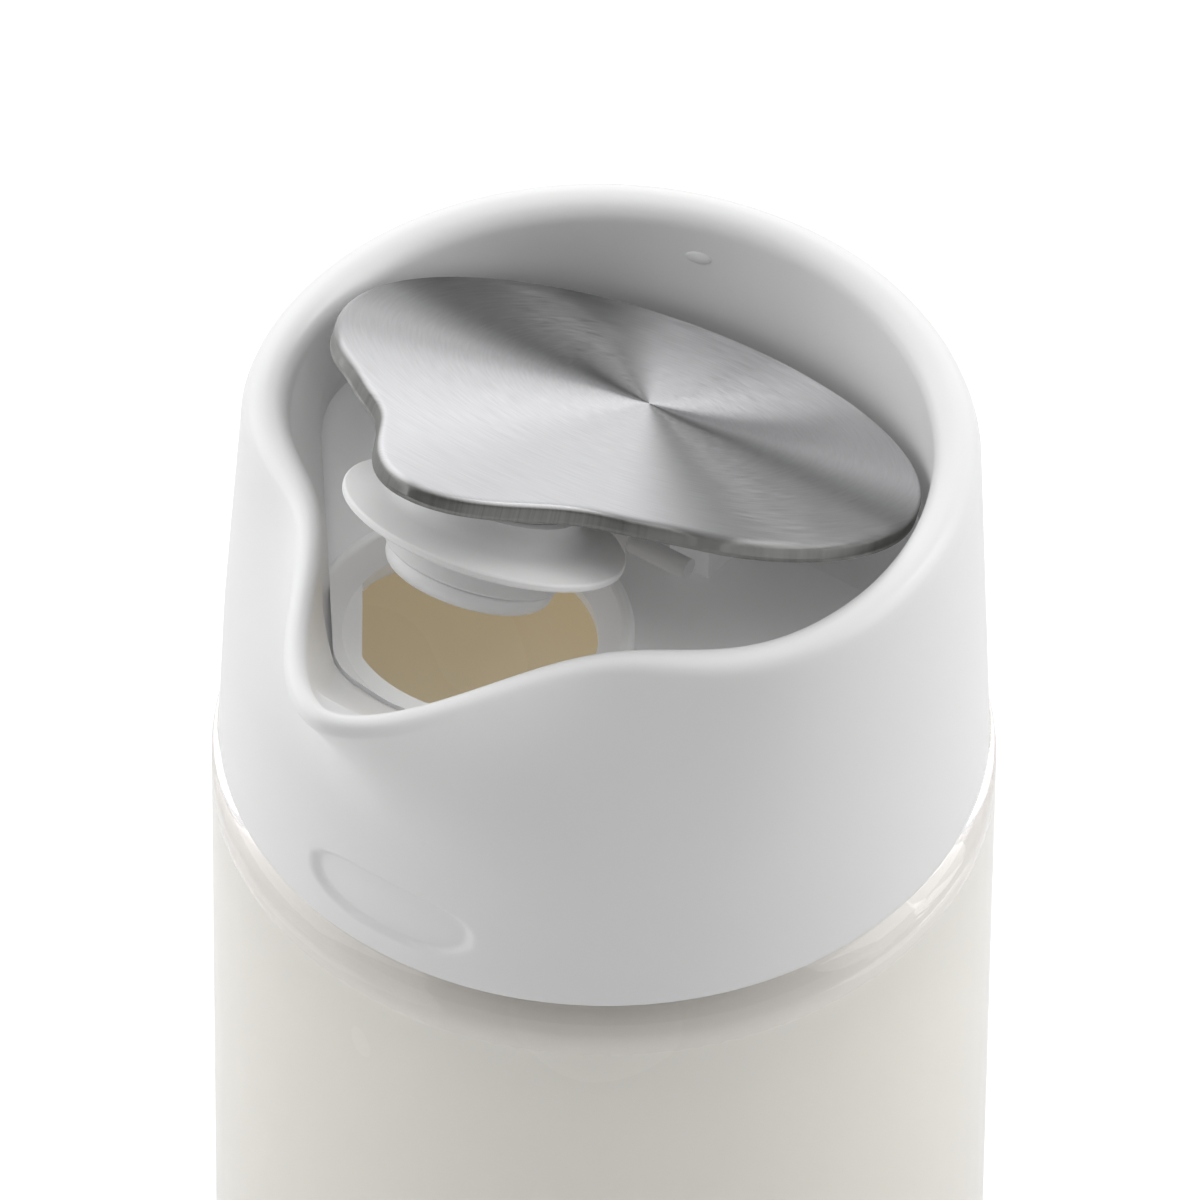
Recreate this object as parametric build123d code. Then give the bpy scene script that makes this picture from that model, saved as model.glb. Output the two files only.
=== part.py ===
from build123d import *
import math
import os

# Glass creamer with a screw-on pouring head and a hinged flip lid.
# Millimetres, +Z up, origin at the centre of the glass base. The beak points to -Y, so the word
# "forward" below is a distance along -Y, and "side" is a distance along +X.

# Glass bottle
body_radius = 39.0
joint_height = 107.0          # height of the plane where the head's lower edge sits
glass_wall = 2.8
base_thickness = 6.0
heel_radius = 4.0
shoulder_gap = 0.3            # the head stops this far above the shoulder
shoulder_rounding = 2.8
inner_shoulder_drop = 1.5     # how far the inner shoulder slopes down from the neck to the wall
inner_shoulder_rounding = 3.5
neck_radius = 31.5
neck_height = 13.0

# Screw thread between neck and head, right hand
thread_pitch = 4.0
thread_turns = 1.25
thread_start = 3.0            # middle of the first turn above the shoulder
thread_depth = 1.1
thread_root_width = 2.2
thread_crest_width = 1.0
thread_radial_gap = 0.4       # crest of one side to the root of the other
thread_sink = 0.4             # how deep a thread's root is sunk into its wall

# Neck gasket
gasket_thickness = 1.5
gasket_width = 2.6
seat_gap = 0.1                # play between the gasket and what it lies between

# Pouring head, outer shell; heights from here on count from the joint plane
head_radius = 38.3
head_draft = 0.042            # the side closes in by this much per millimetre of height
rim_height = 41.65            # height of the rim above the head's axis
rim_slope = 0.0304            # the rim climbs towards the beak
rim_radius = 34.25            # the crest line of the rolled rim
rim_top_flat = 0.3
lip_half_width = 1.15         # the rim is thinner round the beak
lip_spread = 42.0
hem_rounding = 0.5            # along the lower edge
ledge_height = 22.0           # underside of the thick upper wall

# Beak of the rim, as a bulge of the crest line
beak_reach = 13.9
beak_spread = 15.9
beak_sharpness = 1.77
beak_pinch = 3.2
pinch_angle = 37.4
pinch_spread = 19.1
beak_start = 15.0             # height where the beak begins to leave the side
lip_depth = 1.5               # the beak keeps its full reach this far below the rim
beak_flare = 1.5

# Inside of the head: two straight flanks that run from the sides to the beak
flank_distance = 27.85        # from the head's axis
flank_angle = 52.2            # of the flank's outward direction from the beak
bowl_softness = 24.0          # how sharply flanks, round wall and front meet
seat_height = 34.2            # the walls stand straight below this height
channel_start = 35.9          # where the shell's pour channel takes over from the insert's floor
channel_flare = 1.6
lip_inside = 46.6             # forward end of the channel, at the inner edge of the lip

# Where the head's cross slices lie
beak_slices = 10
rim_shares = (1.0, 0.74, 0.5, 0.33, 0.17, 0.07, 0.0)      # depths below the crest, in rim half widths
channel_shares = (0.0, 0.15, 0.3, 0.5, 0.75)              # heights between the seat and the rim's foot

# Badge field and moulding nub of the shell
badge_length = 20.2
badge_height = 8.8
badge_depth = 0.35
badge_middle = 7.1
nub_radius = 1.0
nub_stand = 0.25
nub_angle = 18.0
nub_height = 35.1

# Pour insert
insert_gap = 0.1              # between the insert and the shell
collar_wall = 2.1
collar_foot = 0.3
flange_thickness = 1.6
floor_thickness = 2.0
floor_back = (8.0, 30.5)      # forward and height of the pour floor's corners
floor_front_height = 35.1
well_front = (-7.0, 28.4)
well_back = -21.0
tail_play = 3.6               # room under the lid's tail when it is fully open
hole_radius = 12.5
hole_apex = 18.5              # of the two straight flanks, forward of the hole's centre
hole_front_radius = 14.0      # of the blunt front edge
hole_front = 10.6             # from the hole's centre to the front edge
hole_corner_rounding = 0.8
hole_flank_angle = 34.7
ring_radius = 14.8
ring_wall = 1.2
ring_rounding = 0.6
ring_funnel = 1.6             # depth of the slope from the ring's crest to the hole
ring_root = 6.0
ring_plate = 1.2              # of the sloping plate between the ring and the hole
throat_depth = 20.0           # of the clear way down from the hinge's height to the bottle

# Lid hinge: a cross pin; the lid is modelled level on it, then turned
hinge_forward = -1.9
hinge_height = 36.0
closed_angle = 2.5            # nose-up when shut, nearly parallel to the rim
open_travel = 27.0            # from shut to fully open, which is how the lid is shown
pin_radius = 1.0
press_gap = 0.01
running_gap = 0.05
ear_gap = 0.3
ear_width = 4.6
ear_radius = 3.0
arm_outer = 8.0
arm_width = 2.6

# Lid, in its own level frame: forward from the hinge, up from the hinge
plate_top = 5.9
plate_edge = 2.0
lid_pad_inset = 3.5           # of the thicker middle of the moulding
lid_pad = 0.6
sheet = 0.8
plate_radius = 30.0
plate_centre = 1.0
nose_reach = 12.9
nose_spread = 15.7
nose_sharpness = 2.14
nose_pinch = 0.5
nose_pinch_angle = 41.5
nose_pinch_spread = 8.0
edge_rounding = 0.75
nest_gap = 0.1                # between the pressed sheet and the moulding inside it
dish_radius = 110.0
dish_depth = 0.9
dish_forward = -15.0
peg_forward = 8.5
peg_drop = 3.6
peg_radius = 1.1
peg_end = 14.7
peg_wall = 0.2                # of the arm round the peg

# Plug under the nose
plug_forward = 25.1
flange_drop = 2.3             # the flange's edge lies this far below the hinge axis
flange_radius = 14.3
flange_edge = 0.8
flange_play = 0.15            # clear of the ring's slope, which the soft edge would just touch
plug_radius = 8.9
plug_up = 3.8                 # soft neck above the flange's edge
plug_down = 4.0               # soft body below the flange's edge
brim_rise = 1.6
brim_rounding = 2.2
boss_radius = 5.6
boss_collar_radius = 7.8
plug_gap = 0.05
retainer_radius = 8.5
retainer_thickness = 2.2
retainer_rounding = 1.4
screw_radius = 1.5
screw_head_radius = 2.8
screw_head_height = 1.4
screw_length = 8.0

inner_body_radius = body_radius - glass_wall
neck_bore = neck_radius - glass_wall
shoulder_height = joint_height - shoulder_gap
neck_top = shoulder_height + neck_height
collar_bore = neck_radius + thread_depth + thread_radial_gap
collar_radius = collar_bore + collar_wall
rest_angle = closed_angle + open_travel
rim_half_width = head_radius - head_draft * rim_height - rim_radius
rim_foot = rim_height - rim_half_width
plate_under = plate_top - plate_edge
funnel_slope = ring_funnel / (ring_radius - hole_radius)
ring_drop = flange_drop + flange_edge / 2 + flange_play - funnel_slope * (ring_radius - flange_radius)


def section(points, roundings=()):
    """A flat outline of (radius, height) points, with some corners rounded."""
    sketch = make_face(Polyline(*points, close=True))
    for corner, radius in roundings:
        nearest = sketch.vertices().sort_by_distance((corner[0], corner[1], 0))[0]
        sketch = fillet(nearest, radius)
    return sketch


def turned(points, roundings=()):
    """A solid of revolution about +Z."""
    return revolve(Plane.XZ * section(points, roundings), axis=Axis.Z)


def drum(radius, low, high):
    """An upright cylinder between two heights."""
    return Pos(0, 0, low) * Cylinder(radius, high - low, align=(Align.CENTER, Align.CENTER, Align.MIN))


def bulge(angle, reach, spread, sharpness, pinch, at, width):
    """How far an outline leaves its circle at an angle from the beak, in degrees."""
    away = abs(angle)
    return reach * math.exp(-((away / spread) ** sharpness)) - pinch * math.exp(-(((away - at) / width) ** 2))


def outline(radius_at, offset_at, count=72):
    """Points of a closed outline about the axis, moved outwards square to itself."""
    points = []
    step = 360.0 / count
    for index in range(count):
        angle = index * step
        here, before, after = [polar(radius_at, angle + turn) for turn in (0.0, -0.5, 0.5)]
        along = (after - before).normalized()
        points.append(here + Vector(along.Y, -along.X, 0) * offset_at(wrapped(angle)))
    return points


def wrapped(angle):
    """The same angle between -180 and 180 degrees."""
    return (angle + 180.0) % 360.0 - 180.0


def polar(radius_at, angle):
    """The outline's point at an angle from the beak, which is -Y."""
    turn = math.radians(angle - 90.0)
    return Vector(math.cos(turn), math.sin(turn), 0) * radius_at(wrapped(angle))


def crest(share):
    """Radius of the rim's crest line, with the beak at a share of its full reach."""
    shape = (beak_spread, beak_sharpness, beak_pinch * share, pinch_angle, pinch_spread)
    return lambda angle: rim_radius + bulge(angle, beak_reach * share, *shape)


def beak_share(height):
    """Share of the beak's reach at a height."""
    climbed = (height - beak_start) / (rim_height - lip_depth - beak_start)
    return min(1.0, max(0.0, climbed)) ** beak_flare


def rim_half(angle):
    """Half the rim's width at an angle from the beak."""
    return rim_half_width - (rim_half_width - lip_half_width) * math.exp(-((abs(angle) / lip_spread) ** 4))


def rim_side(angle, depth):
    """How far the rolled rim stands off its crest line, this deep below the crest."""
    half = rim_half(angle)
    below = max(0.0, half - depth)
    return max(rim_top_flat / 2, math.sqrt(half * half - below * below))


def closed_curve(points):
    """A smooth closed curve that gives each point an equal share, so that stacked curves line up."""
    shares = [index / len(points) for index in range(len(points) + 1)]
    return Edge.make_spline(points, periodic=True, parameters=shares)


def tilted(points, height):
    """A face on points that are lifted to a height, more and more like the rim on the way up."""
    lifted = [point + Vector(0, 0, height * (1 - rim_slope * point.Y / rim_height)) for point in points]
    return make_face(closed_curve(lifted))


def outer_slice(height, hem=0.0):
    """A face across the head's outside."""
    share = beak_share(height)
    wall = head_radius - head_draft * height - rim_radius - hem

    def offset_at(angle):
        half = rim_half(angle)
        if rim_height - height < half:
            return rim_side(angle, rim_height - height)
        return wall - (rim_half_width - half) * share

    return tilted(outline(crest(share), offset_at), height)


def channel_front(height):
    """How far forward the inside reaches at a height: the pour channel's floor, seen as a front wall."""
    climbed = min(1.0, max(0.0, (height - seat_height) / (rim_height - seat_height)))
    return channel_start + (lip_inside - channel_start) * climbed ** (1 / channel_flare)


def seat_radius(angle):
    """Radius of the inner wall at the height of the pour floor."""
    past_flank = abs(angle) - flank_angle
    facing = math.cos(math.radians(past_flank))
    total = 0.0
    if facing > 0.1:
        total += (flank_distance / facing) ** -bowl_softness
    if past_flank > 0:
        total += (rim_radius - rim_half_width) ** -bowl_softness
    return total ** (-1 / bowl_softness)


def bowl_slice(height, gap):
    """A face across the head's inside: the rim's inner edge that turns into the seat on the way down."""
    depth = max(0.0, rim_height - height)
    front = channel_front(height) - gap
    points = []
    for point in outline(crest(1.0), lambda angle: -rim_side(angle, depth)):
        angle = math.degrees(math.atan2(point.X, -point.Y))
        half = rim_half(angle)
        sunk = min(1.0, max(0.0, (depth - half) / (rim_height - seat_height - half)))
        radius = point.length * (1 - sunk) + seat_radius(angle) * sunk
        inner = point.normalized() * (radius - gap)
        forward = -inner.Y
        if depth >= half:
            forward = front - math.log1p(math.exp((front - forward) * 1.5)) / 1.5
        points.append(Vector(inner.X, -forward, 0))
    return tilted(points, height)


def side_prism(points, width=200):
    """A prism across the head from (forward, height) points."""
    face = make_face(Polyline(*[(0, -forward, height) for forward, height in points], close=True))
    return extrude(face, amount=width / 2, dir=(1, 0, 0), both=True)


def lid_frame(angle):
    """Where the lid's own frame lies in the head's when the lid is turned nose-up."""
    return Pos(0, -hinge_forward, hinge_height) * Rot(-angle, 0, 0)


def on_head(piece):
    """Lift a piece from the joint plane to its height above the base."""
    return Pos(0, 0, joint_height) * piece


def on_lid(piece):
    """Place a lid piece with the lid fully open."""
    return on_head(lid_frame(rest_angle) * piece)


def helix_thread(radius, outward, middle, turns):
    """One screw rib on a cylinder, raised outwards or inwards."""
    path = Pos(0, 0, middle) * Helix(thread_pitch, thread_pitch * turns, radius)
    root = thread_root_width / 2
    tip = thread_crest_width / 2
    slope = (root - tip) / thread_depth
    foot = root + slope * thread_sink
    points = [(-thread_sink, -foot), (thread_depth, -tip), (thread_depth, tip), (-thread_sink, foot)]
    points = [(outward * x, y) for x, y in points]
    start = Plane(origin=path @ 0, x_dir=(1, 0, 0), z_dir=path % 0)
    profile = start * make_face(Polyline(*points, close=True))
    return sweep(profile, path=path, is_frenet=True)


def glass_bottle():
    """Straight glass with a thick base, a rounded shoulder and a threaded neck."""
    low = shoulder_height - glass_wall
    wall_foot = low - inner_shoulder_drop
    points = [
        (0, 0), (body_radius, 0), (body_radius, shoulder_height),
        (neck_radius, shoulder_height), (neck_radius, neck_top), (neck_bore, neck_top), (neck_bore, low),
        (inner_body_radius, wall_foot), (inner_body_radius, base_thickness), (0, base_thickness),
    ]
    roundings = [
        ((body_radius, 0), heel_radius),
        ((body_radius, shoulder_height), shoulder_rounding),
        ((neck_radius, shoulder_height), 0.8),
        ((neck_radius, neck_top), glass_wall * 0.4),
        ((neck_bore, neck_top), glass_wall * 0.4),
        ((neck_bore, low), 2.0),
        ((inner_body_radius, wall_foot), inner_shoulder_rounding),
        ((inner_body_radius, base_thickness), heel_radius + 1.0),
    ]
    thread = helix_thread(neck_radius, 1, shoulder_height + thread_start, thread_turns)
    return turned(points, roundings) + thread


def neck_gasket():
    """Flat soft ring that the head presses on the glass."""
    low = neck_top + seat_gap
    middle = (neck_radius + neck_bore) / 2
    ring = drum(middle + gasket_width / 2, low, low + gasket_thickness)
    return ring - drum(middle - gasket_width / 2, low, low + gasket_thickness)


def outer_form():
    """The head's outside with its beak, up to the top of the rolled rim."""
    slices = [outer_slice(0, hem_rounding), outer_slice(hem_rounding)]
    for step in range(beak_slices):
        slices.append(outer_slice(beak_start + (rim_foot - beak_start) * step / beak_slices))
    for share in rim_shares:
        slices.append(outer_slice(rim_height - share * rim_half_width))
    return loft(slices, ruled=True)


def bowl_form(gap=0.0, low=ledge_height - 1):
    """The open space inside the rim, down to a height."""
    slices = [bowl_slice(low, gap)]
    for share in channel_shares:
        slices.append(bowl_slice(seat_height + share * (rim_foot - seat_height), gap))
    for share in rim_shares:
        slices.append(bowl_slice(rim_height - share * rim_half_width, gap))
    slices.append(bowl_slice(rim_height + rim_half_width, gap))
    return loft(slices, ruled=True)


def badge_field():
    """Cutter for the bare oval field below the beak, an even depth into the side."""
    low = head_radius - badge_depth
    high = low - head_draft * beak_start
    band = turned([(low, 0), (low + 5, 0), (high + 5, beak_start), (high, beak_start)])
    oval = Plane.XZ * Pos(0, badge_middle) * SlotOverall(badge_length, badge_height)
    return band & extrude(oval, amount=head_radius + 5)


def moulding_nub():
    """Small round mark on the inner back wall."""
    length = rim_half_width + nub_stand
    nub = Cylinder(nub_radius, length, rotation=(0, 90, 0), align=(Align.CENTER, Align.CENTER, Align.MAX))
    return Rot(0, 0, 90 + nub_angle) * Pos(rim_radius, 0, nub_height) * nub


def pour_head_shell():
    """Moulded outer head: rolled rim, beak, skin and badge field."""
    shell = outer_form() - bowl_form()
    shell -= drum(collar_radius + insert_gap, -1, ledge_height)
    sweep_room = Cylinder(flange_radius + 2 * flange_play, 20, align=(Align.CENTER, Align.CENTER, Align.MIN))
    low = flange_drop + flange_edge / 2 + flange_play
    shell -= lid_frame(closed_angle) * Pos(0, -plug_forward, -low) * sweep_room
    shell -= badge_field()
    shell += moulding_nub()
    return on_head(shell)


def floor_line(drop=0.0):
    """The pour floor and the rear well in side view, as (forward, height) points."""
    tail = math.radians(rest_angle)
    reach = plate_radius - plate_centre
    tail_height = hinge_height - reach * math.sin(tail) + plate_under * math.cos(tail)
    well_height = tail_height - tail_play
    points = [(-60, well_height), (well_back, well_height), well_front, floor_back]
    points += [(channel_start, floor_front_height), (60, floor_front_height)]
    return [(forward, height - drop) for forward, height in points]


def pour_hole():
    """Cutter for the hole: round at the back, two flanks that close towards the beak."""
    reach = hole_apex + hole_radius
    half = reach * math.tan(math.radians(hole_flank_angle))
    wedge = make_face(Polyline((0, -hole_apex), (half, hole_radius), (-half, hole_radius), close=True))
    blunt = Pos(0, hole_front_radius - hole_front) * Circle(hole_front_radius)
    shape = wedge & Circle(hole_radius) & blunt
    corners = [corner for corner in shape.vertices() if corner.Y < -hole_radius / 2]
    shape = fillet(corners, hole_corner_rounding)
    return Pos(0, -plug_forward, -ring_drop - ring_root) * extrude(shape, amount=2 * ring_root)


def pour_ring():
    """Raised ring round the hole, with the sloping seat of the plug inside it."""
    crest_at = -ring_drop
    outer = ring_radius + ring_wall
    inner = hole_radius - 2
    dip = crest_at - ring_funnel
    root = crest_at - ring_root
    points = [
        (inner, dip - ring_plate), (ring_radius, dip - ring_plate), (ring_radius, root), (outer, root),
        (outer, crest_at), (ring_radius, crest_at), (hole_radius, dip), (inner, dip),
    ]
    ring = turned(points, [((outer, crest_at), ring_rounding), ((ring_radius, crest_at), ring_rounding)])
    return Pos(0, -plug_forward, 0) * ring


def hinge_ears():
    """Two ears that hold the hinge pin over the back of the floor."""
    foot = well_front[1] - floor_thickness / 2
    profile = Pos(-hinge_forward, hinge_height) * Circle(ear_radius)
    post = Rectangle(2 * ear_radius, hinge_height - foot, align=(Align.CENTER, Align.MIN))
    profile += Pos(-hinge_forward, foot) * post
    near = arm_outer + ear_gap
    ears = []
    for side in (near, -near - ear_width):
        ears.append(extrude(Plane.YZ.offset(side) * profile, amount=ear_width))
    return ears[0] + ears[1]


def cross_rod(radius, reach):
    """A round rod along the hinge axis, in the lid's frame."""
    return Cylinder(radius, 2 * reach, rotation=(0, 90, 0))


def pour_insert():
    """Moulded inside of the head: floor, seat ring, rear well, hinge ears, threaded collar."""
    top = ledge_height - insert_gap
    bowl = bowl_form(insert_gap, top - 1) & drum(60, 0, floor_front_height)
    body = drum(collar_radius, collar_foot, top) + bowl
    room = side_prism(floor_line() + [(60, 90), (-60, 90)])
    body -= room & (drum(rim_radius - rim_half_width - insert_gap, 10, top) + drum(60, top, 90))
    under = side_prism(floor_line(floor_thickness) + [(60, -5), (-60, -5)])
    narrow = rim_radius - rim_half_width - floor_thickness
    body -= under & (drum(collar_bore, 0, top - floor_thickness) + drum(narrow, 0, rim_height))
    gasket_top = neck_top - joint_height + 2 * seat_gap + gasket_thickness
    flange = drum(collar_bore + 0.5, gasket_top, gasket_top + flange_thickness)
    body += flange - drum(neck_bore, gasket_top, gasket_top + flange_thickness)
    thread_middle = thread_start - shoulder_gap + thread_pitch / 2
    body += helix_thread(collar_bore, -1, thread_middle, thread_turns)
    shut = lid_frame(closed_angle)
    hole_axis = shut * Pos(0, -plug_forward, 0)
    body -= hole_axis * drum(ring_radius, -ring_drop - ring_funnel - ring_plate, rim_height)
    body -= (hole_axis * drum(ring_radius, -throat_depth, 0)) & drum(collar_bore, 0, rim_height)
    body += (shut * pour_ring()) & bowl
    body -= shut * pour_hole()
    body += hinge_ears()
    body -= lid_frame(0) * cross_rod(pin_radius + press_gap, arm_outer + ear_gap + ear_width)
    return on_head(body)


def hinge_pin():
    """Steel cross pin of the lid."""
    return on_lid(cross_rod(pin_radius, arm_outer + ear_gap + ear_width))


def lid_slice(height, offset):
    """A level face inside the lid's outline, in the lid's frame."""
    shape = (nose_reach, nose_spread, nose_sharpness, nose_pinch, nose_pinch_angle, nose_pinch_spread)
    points = outline(lambda angle: plate_radius + bulge(angle, *shape), lambda angle: offset)
    return make_face(closed_curve([point + Vector(0, -plate_centre, height) for point in points]))


def quarter_round(rounding):
    """Inward and upward steps over a quarter round."""
    turns = [math.radians(turn) for turn in (22, 44, 66, 90)]
    return [(rounding * (1 - math.cos(turn)), rounding * math.sin(turn)) for turn in turns]


def dish(extra=0.0):
    """The shallow round hollow for the thumb, as a ball that touches down from above."""
    middle = plate_top - dish_depth + dish_radius
    return Pos(0, -dish_forward, middle) * Sphere(dish_radius + extra)


def lid_form(inset):
    """The lid's outer form, or the same form inside it by an even inset."""
    top = plate_top - inset
    rounding = edge_rounding
    slices = [lid_slice(plate_under, -inset), lid_slice(top - rounding, -inset)]
    for inward, up in quarter_round(rounding):
        slices.append(lid_slice(top - rounding + up, -inset - inward))
    return loft(slices, ruled=True) - dish(inset)


def lid_plate():
    """Pressed steel sheet with its edge turned down."""
    return on_lid(lid_form(0.0) - lid_form(sheet))


def arm_profile():
    """Side view of a hinge arm: round the pin, down to the peg and up to the lid."""
    hub = Circle(ear_radius)
    peg = Pos(-peg_forward, -peg_drop) * Circle(peg_radius + peg_wall)
    front = -peg_forward - peg_radius - peg_wall
    low = -peg_drop - peg_radius - peg_wall
    web = make_face(Polyline(
        (ear_radius, 0), (ear_radius, plate_under), (front, plate_under), (front, -peg_drop),
        (-peg_forward, low), (0, -ear_radius), close=True))
    return hub + peg + web


def lid_carrier():
    """White moulding nested in the pressed sheet, with arms, pegs and the plug's boss."""
    body = lid_form(sheet + nest_gap)
    body += extrude(lid_slice(plate_under - lid_pad, -lid_pad_inset), amount=lid_pad + nest_gap, dir=(0, 0, 1))
    for side in (arm_outer - arm_width, -arm_outer):
        body += extrude(Plane.YZ.offset(side) * arm_profile(), amount=arm_width)
    for side in (1, -1):
        peg = cross_rod(peg_radius, (peg_end - arm_outer) / 2 + 0.5)
        body += Pos(side * (peg_end + arm_outer - 1) / 2, -peg_forward, -peg_drop) * peg
    soft_top = plug_up - flange_drop
    boss_foot = -flange_drop - plug_down
    boss = drum(boss_collar_radius, soft_top + plug_gap, plate_under + 0.5) + drum(boss_radius, boss_foot, plate_under)
    body += Pos(0, -plug_forward, 0) * boss
    body -= cross_rod(pin_radius + running_gap, arm_outer + 1)
    body -= Pos(0, -plug_forward, 0) * drum(screw_radius + press_gap, boss_foot - 1, boss_foot + screw_length)
    return on_lid(body)


def plug_seal():
    """Soft umbrella-shaped plug round the boss."""
    edge = -flange_drop
    bore = boss_radius + plug_gap
    points = [
        (bore, edge + plug_up), (plug_radius, edge + plug_up), (plug_radius, edge + brim_rise),
        (flange_radius, edge + flange_edge / 2), (flange_radius, edge - flange_edge / 2),
        (plug_radius, edge - flange_edge / 2), (plug_radius, edge - plug_down), (bore, edge - plug_down),
    ]
    roundings = [
        ((plug_radius, edge + brim_rise), brim_rounding),
        ((flange_radius, edge + flange_edge / 2), 0.3),
        ((flange_radius, edge - flange_edge / 2), 0.3),
        ((plug_radius, edge - plug_down), 0.3),
    ]
    return on_lid(Pos(0, -plug_forward, 0) * turned(points, roundings))


def plug_retainer():
    """Round cap that keeps the soft plug on its boss."""
    top = -flange_drop - plug_down - plug_gap
    low = top - retainer_thickness
    points = [(screw_radius + press_gap, top), (retainer_radius, top), (retainer_radius, low)]
    points += [(screw_head_radius + plug_gap, low), (screw_head_radius + plug_gap, low + screw_head_height)]
    points += [(screw_radius + press_gap, low + screw_head_height)]
    cap = turned(points, [((retainer_radius, low), retainer_rounding), ((retainer_radius, top), 0.3)])
    return on_lid(Pos(0, -plug_forward, 0) * cap)


def seal_screw():
    """Screw that holds the cap and the plug on the boss."""
    low = -flange_drop - plug_down - plug_gap - retainer_thickness
    shank_top = low + screw_head_height + screw_length
    body = drum(screw_head_radius, low, low + screw_head_height) + drum(screw_radius, low, shank_top)
    body -= Pos(0, 0, low) * Box(0.8, 3.6, 1.2)
    body -= Pos(0, 0, low) * Box(3.6, 0.8, 1.2)
    return on_lid(Pos(0, -plug_forward, 0) * body)


pieces = [
    glass_bottle, neck_gasket, pour_head_shell, pour_insert, hinge_pin,
    lid_plate, lid_carrier, plug_seal, plug_retainer, seal_screw,
]

os.makedirs("parts", exist_ok=True)
for make in pieces:
    piece = make()
    print(make.__name__, round(piece.volume), len(piece.solids()), piece.is_valid)
    export_step(piece, "parts/" + make.__name__ + ".step")
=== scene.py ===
import math

import bmesh
import bpy
from mathutils import Matrix, Vector


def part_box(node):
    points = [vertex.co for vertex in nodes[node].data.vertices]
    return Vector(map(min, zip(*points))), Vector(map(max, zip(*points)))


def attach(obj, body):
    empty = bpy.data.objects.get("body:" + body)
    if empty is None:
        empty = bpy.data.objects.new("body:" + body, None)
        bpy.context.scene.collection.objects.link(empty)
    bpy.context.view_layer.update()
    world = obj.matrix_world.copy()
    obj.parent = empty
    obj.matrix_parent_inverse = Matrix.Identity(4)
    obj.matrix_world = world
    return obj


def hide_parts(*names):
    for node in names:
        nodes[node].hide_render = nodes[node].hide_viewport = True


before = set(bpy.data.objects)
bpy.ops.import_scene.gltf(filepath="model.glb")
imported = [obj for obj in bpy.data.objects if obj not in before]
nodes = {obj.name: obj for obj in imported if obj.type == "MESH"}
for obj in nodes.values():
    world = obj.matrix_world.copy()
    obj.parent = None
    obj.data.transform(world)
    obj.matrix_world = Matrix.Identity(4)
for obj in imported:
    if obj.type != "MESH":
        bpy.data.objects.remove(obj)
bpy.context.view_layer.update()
mm = 0.001


# Glass bottle. Clear pressed glass, straight, with a thick base and a threaded neck that the
# pouring head hides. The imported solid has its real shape, so it only gets its glass here.
def new_material(name):
    """An empty node material and its output."""
    material = bpy.data.materials.new(name)
    material.use_nodes = True
    tree = material.node_tree
    tree.nodes.clear()
    output = tree.nodes.new("ShaderNodeOutputMaterial")
    return material, tree, output


def place_of(tree):
    """The point on the piece, in the object's own metres."""
    return tree.nodes.new("ShaderNodeTexCoord").outputs["Object"]


def mottle(tree, size, detail=2.0):
    """Soft noise with blotches of about this size."""
    noise = tree.nodes.new("ShaderNodeTexNoise")
    noise.inputs["Scale"].default_value = 1.0 / size
    noise.inputs["Detail"].default_value = detail
    tree.links.new(place_of(tree), noise.inputs["Vector"])
    return noise.outputs["Fac"]


def spread(tree, factor, low, high):
    """Map 0..1 noise to a range."""
    stretch = tree.nodes.new("ShaderNodeMapRange")
    stretch.inputs["From Min"].default_value = 0.3
    stretch.inputs["From Max"].default_value = 0.7
    stretch.inputs["To Min"].default_value = low
    stretch.inputs["To Max"].default_value = high
    tree.links.new(factor, stretch.inputs["Value"])
    return stretch.outputs["Result"]


def tinted(tree, factor, first, second):
    """Blend two colours by noise."""
    mix = tree.nodes.new("ShaderNodeMix")
    mix.data_type = "RGBA"
    mix.inputs["A"].default_value = (*first, 1.0)
    mix.inputs["B"].default_value = (*second, 1.0)
    tree.links.new(factor, mix.inputs["Factor"])
    return mix.outputs["Result"]


def ripple(tree, height, depth):
    """A bump of this depth in metres, driven by noise."""
    bump = tree.nodes.new("ShaderNodeBump")
    bump.inputs["Strength"].default_value = 1.0
    bump.inputs["Distance"].default_value = depth
    tree.links.new(height, bump.inputs["Height"])
    return bump.outputs["Normal"]


def clear_glass():
    """Clear pressed glass with a faintly uneven polish; lamps shine through it to what it holds."""
    material, tree, output = new_material("clear_pressed_glass")
    glass = tree.nodes.new("ShaderNodeBsdfPrincipled")
    glass.inputs["Base Color"].default_value = (0.90, 0.885, 0.89, 1.0)
    glass.inputs["Transmission Weight"].default_value = 1.0
    glass.inputs["IOR"].default_value = 1.5
    tree.links.new(spread(tree, mottle(tree, 25 * mm, 0.0), 0.01, 0.03), glass.inputs["Roughness"])
    lamp_way = tree.nodes.new("ShaderNodeBsdfTransparent")
    lamp_way.inputs["Color"].default_value = (0.93, 0.93, 0.93, 1.0)
    path = tree.nodes.new("ShaderNodeLightPath")
    mix = tree.nodes.new("ShaderNodeMixShader")
    tree.links.new(path.outputs["Is Shadow Ray"], mix.inputs["Fac"])
    tree.links.new(glass.outputs["BSDF"], mix.inputs[1])
    tree.links.new(lamp_way.outputs["BSDF"], mix.inputs[2])
    tree.links.new(mix.outputs["Shader"], output.inputs["Surface"])
    return material


def finish_node(name, material):
    """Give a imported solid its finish."""
    solid = nodes[name]
    solid.data.materials.clear()
    solid.data.materials.append(material)


finish_node("glass_bottle", clear_glass())


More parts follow.
